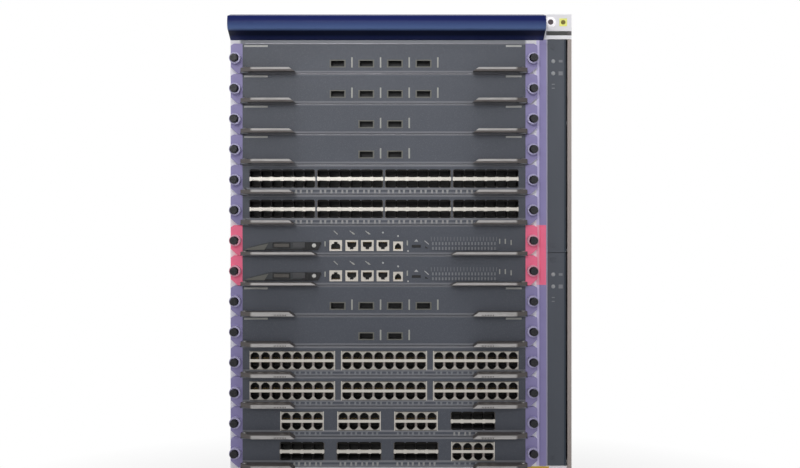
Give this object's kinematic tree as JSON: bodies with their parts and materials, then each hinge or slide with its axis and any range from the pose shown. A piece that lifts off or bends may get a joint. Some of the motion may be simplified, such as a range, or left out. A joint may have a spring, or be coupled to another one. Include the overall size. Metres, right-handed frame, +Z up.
{
  "type": "modular chassis switch",
  "caption": "Tall rack-width network switch chassis with slide-out cards, swinging ejector levers, fan trays beside the cards and power supplies underneath.",
  "frame": {"origin": "bottom centre of the bounding box, on the face the chassis stands on", "axes": "+X to the right of someone facing the front, +Y to the back, +Z up"},
  "size_m": [0.436, 0.48, 0.753],
  "materials": {
    "chassis": "pale satin powder coat",
    "bezel": "moulded blue plastic, satin gloss",
    "label": "coloured label strip",
    "jack": "plated",
    "guide": "moulded nylon",
    "circuit_board": "solder mask",
    "card_front": "dark grey satin paint",
    "lever": "moulded, semi-matt",
    "fan_tray": "dark grey satin paint",
    "power_supply": "dark grey satin paint"
  },
  "bodies": {
    "chassis": {"left_side_panel": "chassis", "right_side_panel": "chassis", "top_cover": "chassis", "base_plate": "chassis", "rear_cover": "chassis", "mid_shelf": "chassis", "fan_bay_partition": "chassis", "slot_labels": "label", "front_bezel": "bezel", "esd_jack": "jack", "card_guides": "guide", "backplane": "circuit_board"},
    "card_01_body": {"card_01": "card_front"},
    "lever_01_left_body": {"lever_01_left": "lever"},
    "lever_01_right_body": {"lever_01_right": "lever"},
    "card_02_body": {"card_02": "card_front"},
    "lever_02_left_body": {"lever_02_left": "lever"},
    "lever_02_right_body": {"lever_02_right": "lever"},
    "card_03_body": {"card_03": "card_front"},
    "lever_03_left_body": {"lever_03_left": "lever"},
    "lever_03_right_body": {"lever_03_right": "lever"},
    "card_04_body": {"card_04": "card_front"},
    "lever_04_left_body": {"lever_04_left": "lever"},
    "lever_04_right_body": {"lever_04_right": "lever"},
    "card_05_body": {"card_05": "card_front"},
    "lever_05_left_body": {"lever_05_left": "lever"},
    "lever_05_right_body": {"lever_05_right": "lever"},
    "card_06_body": {"card_06": "card_front"},
    "lever_06_left_body": {"lever_06_left": "lever"},
    "lever_06_right_body": {"lever_06_right": "lever"},
    "card_07_body": {"card_07": "card_front"},
    "lever_07_left_body": {"lever_07_left": "lever"},
    "lever_07_right_body": {"lever_07_right": "lever"},
    "card_08_body": {"card_08": "card_front"},
    "lever_08_left_body": {"lever_08_left": "lever"},
    "lever_08_right_body": {"lever_08_right": "lever"},
    "card_09_body": {"card_09": "card_front"},
    "lever_09_left_body": {"lever_09_left": "lever"},
    "lever_09_right_body": {"lever_09_right": "lever"},
    "card_10_body": {"card_10": "card_front"},
    "lever_10_left_body": {"lever_10_left": "lever"},
    "lever_10_right_body": {"lever_10_right": "lever"},
    "card_11_body": {"card_11": "card_front"},
    "lever_11_left_body": {"lever_11_left": "lever"},
    "lever_11_right_body": {"lever_11_right": "lever"},
    "card_12_body": {"card_12": "card_front"},
    "lever_12_left_body": {"lever_12_left": "lever"},
    "lever_12_right_body": {"lever_12_right": "lever"},
    "card_13_body": {"card_13": "card_front"},
    "lever_13_left_body": {"lever_13_left": "lever"},
    "lever_13_right_body": {"lever_13_right": "lever"},
    "card_14_body": {"card_14": "card_front"},
    "lever_14_left_body": {"lever_14_left": "lever"},
    "lever_14_right_body": {"lever_14_right": "lever"},
    "fan_tray_lower_body": {"fan_tray_lower": "fan_tray"},
    "fan_tray_upper_body": {"fan_tray_upper": "fan_tray"},
    "power_supply_1_body": {"power_supply_1": "power_supply"},
    "power_supply_2_body": {"power_supply_2": "power_supply"},
    "power_supply_3_body": {"power_supply_3": "power_supply"},
    "power_supply_4_body": {"power_supply_4": "power_supply"}
  },
  "joints": [
    {"name": "card_01_slide", "type": "slide", "parent": "chassis", "child": "card_01_body", "axis": [0, -1, 0], "range_m": [0, 0.38]},
    {"name": "lever_01_left_hinge", "type": "hinge", "parent": "card_01_body", "child": "lever_01_left_body", "pos_m": [-0.198, -0.224, 0.6806], "axis": [0, 0, -1], "range_deg": [0, 60]},
    {"name": "lever_01_right_hinge", "type": "hinge", "parent": "card_01_body", "child": "lever_01_right_body", "pos_m": [0.1548, -0.224, 0.6806], "axis": [0, 0, 1], "range_deg": [0, 60]},
    {"name": "card_02_slide", "type": "slide", "parent": "chassis", "child": "card_02_body", "axis": [0, -1, 0], "range_m": [0, 0.38]},
    {"name": "lever_02_left_hinge", "type": "hinge", "parent": "card_02_body", "child": "lever_02_left_body", "pos_m": [-0.198, -0.224, 0.6421], "axis": [0, 0, -1], "range_deg": [0, 60]},
    {"name": "lever_02_right_hinge", "type": "hinge", "parent": "card_02_body", "child": "lever_02_right_body", "pos_m": [0.1548, -0.224, 0.6421], "axis": [0, 0, 1], "range_deg": [0, 60]},
    {"name": "card_03_slide", "type": "slide", "parent": "chassis", "child": "card_03_body", "axis": [0, -1, 0], "range_m": [0, 0.38]},
    {"name": "lever_03_left_hinge", "type": "hinge", "parent": "card_03_body", "child": "lever_03_left_body", "pos_m": [-0.198, -0.224, 0.6036], "axis": [0, 0, -1], "range_deg": [0, 60]},
    {"name": "lever_03_right_hinge", "type": "hinge", "parent": "card_03_body", "child": "lever_03_right_body", "pos_m": [0.1548, -0.224, 0.6036], "axis": [0, 0, 1], "range_deg": [0, 60]},
    {"name": "card_04_slide", "type": "slide", "parent": "chassis", "child": "card_04_body", "axis": [0, -1, 0], "range_m": [0, 0.38]},
    {"name": "lever_04_left_hinge", "type": "hinge", "parent": "card_04_body", "child": "lever_04_left_body", "pos_m": [-0.198, -0.224, 0.5651], "axis": [0, 0, -1], "range_deg": [0, 60]},
    {"name": "lever_04_right_hinge", "type": "hinge", "parent": "card_04_body", "child": "lever_04_right_body", "pos_m": [0.1548, -0.224, 0.5651], "axis": [0, 0, 1], "range_deg": [0, 60]},
    {"name": "card_05_slide", "type": "slide", "parent": "chassis", "child": "card_05_body", "axis": [0, -1, 0], "range_m": [0, 0.38]},
    {"name": "lever_05_left_hinge", "type": "hinge", "parent": "card_05_body", "child": "lever_05_left_body", "pos_m": [-0.198, -0.224, 0.5266], "axis": [0, 0, -1], "range_deg": [0, 60]},
    {"name": "lever_05_right_hinge", "type": "hinge", "parent": "card_05_body", "child": "lever_05_right_body", "pos_m": [0.1548, -0.224, 0.5266], "axis": [0, 0, 1], "range_deg": [0, 60]},
    {"name": "card_06_slide", "type": "slide", "parent": "chassis", "child": "card_06_body", "axis": [0, -1, 0], "range_m": [0, 0.38]},
    {"name": "lever_06_left_hinge", "type": "hinge", "parent": "card_06_body", "child": "lever_06_left_body", "pos_m": [-0.198, -0.224, 0.4881], "axis": [0, 0, -1], "range_deg": [0, 60]},
    {"name": "lever_06_right_hinge", "type": "hinge", "parent": "card_06_body", "child": "lever_06_right_body", "pos_m": [0.1548, -0.224, 0.4881], "axis": [0, 0, 1], "range_deg": [0, 60]},
    {"name": "card_07_slide", "type": "slide", "parent": "chassis", "child": "card_07_body", "axis": [0, -1, 0], "range_m": [0, 0.38]},
    {"name": "lever_07_left_hinge", "type": "hinge", "parent": "card_07_body", "child": "lever_07_left_body", "pos_m": [-0.198, -0.224, 0.4488], "axis": [0, 0, -1], "range_deg": [0, 60]},
    {"name": "lever_07_right_hinge", "type": "hinge", "parent": "card_07_body", "child": "lever_07_right_body", "pos_m": [0.1548, -0.224, 0.4488], "axis": [0, 0, 1], "range_deg": [0, 60]},
    {"name": "card_08_slide", "type": "slide", "parent": "chassis", "child": "card_08_body", "axis": [0, -1, 0], "range_m": [0, 0.38]},
    {"name": "lever_08_left_hinge", "type": "hinge", "parent": "card_08_body", "child": "lever_08_left_body", "pos_m": [-0.198, -0.224, 0.4103], "axis": [0, 0, -1], "range_deg": [0, 60]},
    {"name": "lever_08_right_hinge", "type": "hinge", "parent": "card_08_body", "child": "lever_08_right_body", "pos_m": [0.1548, -0.224, 0.4103], "axis": [0, 0, 1], "range_deg": [0, 60]},
    {"name": "card_09_slide", "type": "slide", "parent": "chassis", "child": "card_09_body", "axis": [0, -1, 0], "range_m": [0, 0.38]},
    {"name": "lever_09_left_hinge", "type": "hinge", "parent": "card_09_body", "child": "lever_09_left_body", "pos_m": [-0.198, -0.224, 0.3726], "axis": [0, 0, -1], "range_deg": [0, 60]},
    {"name": "lever_09_right_hinge", "type": "hinge", "parent": "card_09_body", "child": "lever_09_right_body", "pos_m": [0.1548, -0.224, 0.3726], "axis": [0, 0, 1], "range_deg": [0, 60]},
    {"name": "card_10_slide", "type": "slide", "parent": "chassis", "child": "card_10_body", "axis": [0, -1, 0], "range_m": [0, 0.38]},
    {"name": "lever_10_left_hinge", "type": "hinge", "parent": "card_10_body", "child": "lever_10_left_body", "pos_m": [-0.198, -0.224, 0.3341], "axis": [0, 0, -1], "range_deg": [0, 60]},
    {"name": "lever_10_right_hinge", "type": "hinge", "parent": "card_10_body", "child": "lever_10_right_body", "pos_m": [0.1548, -0.224, 0.3341], "axis": [0, 0, 1], "range_deg": [0, 60]},
    {"name": "card_11_slide", "type": "slide", "parent": "chassis", "child": "card_11_body", "axis": [0, -1, 0], "range_m": [0, 0.38]},
    {"name": "lever_11_left_hinge", "type": "hinge", "parent": "card_11_body", "child": "lever_11_left_body", "pos_m": [-0.198, -0.224, 0.2956], "axis": [0, 0, -1], "range_deg": [0, 60]},
    {"name": "lever_11_right_hinge", "type": "hinge", "parent": "card_11_body", "child": "lever_11_right_body", "pos_m": [0.1548, -0.224, 0.2956], "axis": [0, 0, 1], "range_deg": [0, 60]},
    {"name": "card_12_slide", "type": "slide", "parent": "chassis", "child": "card_12_body", "axis": [0, -1, 0], "range_m": [0, 0.38]},
    {"name": "lever_12_left_hinge", "type": "hinge", "parent": "card_12_body", "child": "lever_12_left_body", "pos_m": [-0.198, -0.224, 0.2571], "axis": [0, 0, -1], "range_deg": [0, 60]},
    {"name": "lever_12_right_hinge", "type": "hinge", "parent": "card_12_body", "child": "lever_12_right_body", "pos_m": [0.1548, -0.224, 0.2571], "axis": [0, 0, 1], "range_deg": [0, 60]},
    {"name": "card_13_slide", "type": "slide", "parent": "chassis", "child": "card_13_body", "axis": [0, -1, 0], "range_m": [0, 0.38]},
    {"name": "lever_13_left_hinge", "type": "hinge", "parent": "card_13_body", "child": "lever_13_left_body", "pos_m": [-0.198, -0.224, 0.2186], "axis": [0, 0, -1], "range_deg": [0, 60]},
    {"name": "lever_13_right_hinge", "type": "hinge", "parent": "card_13_body", "child": "lever_13_right_body", "pos_m": [0.1548, -0.224, 0.2186], "axis": [0, 0, 1], "range_deg": [0, 60]},
    {"name": "card_14_slide", "type": "slide", "parent": "chassis", "child": "card_14_body", "axis": [0, -1, 0], "range_m": [0, 0.38]},
    {"name": "lever_14_left_hinge", "type": "hinge", "parent": "card_14_body", "child": "lever_14_left_body", "pos_m": [-0.198, -0.224, 0.1801], "axis": [0, 0, -1], "range_deg": [0, 60]},
    {"name": "lever_14_right_hinge", "type": "hinge", "parent": "card_14_body", "child": "lever_14_right_body", "pos_m": [0.1548, -0.224, 0.1801], "axis": [0, 0, 1], "range_deg": [0, 60]},
    {"name": "fan_tray_lower_slide", "type": "slide", "parent": "chassis", "child": "fan_tray_lower_body", "axis": [0, -1, 0], "range_m": [0, 0.32]},
    {"name": "fan_tray_upper_slide", "type": "slide", "parent": "chassis", "child": "fan_tray_upper_body", "axis": [0, -1, 0], "range_m": [0, 0.32]},
    {"name": "power_supply_1_slide", "type": "slide", "parent": "chassis", "child": "power_supply_1_body", "axis": [0, -1, 0], "range_m": [0, 0.47]},
    {"name": "power_supply_2_slide", "type": "slide", "parent": "chassis", "child": "power_supply_2_body", "axis": [0, -1, 0], "range_m": [0, 0.47]},
    {"name": "power_supply_3_slide", "type": "slide", "parent": "chassis", "child": "power_supply_3_body", "axis": [0, -1, 0], "range_m": [0, 0.47]},
    {"name": "power_supply_4_slide", "type": "slide", "parent": "chassis", "child": "power_supply_4_body", "axis": [0, -1, 0], "range_m": [0, 0.47]}
  ]
}
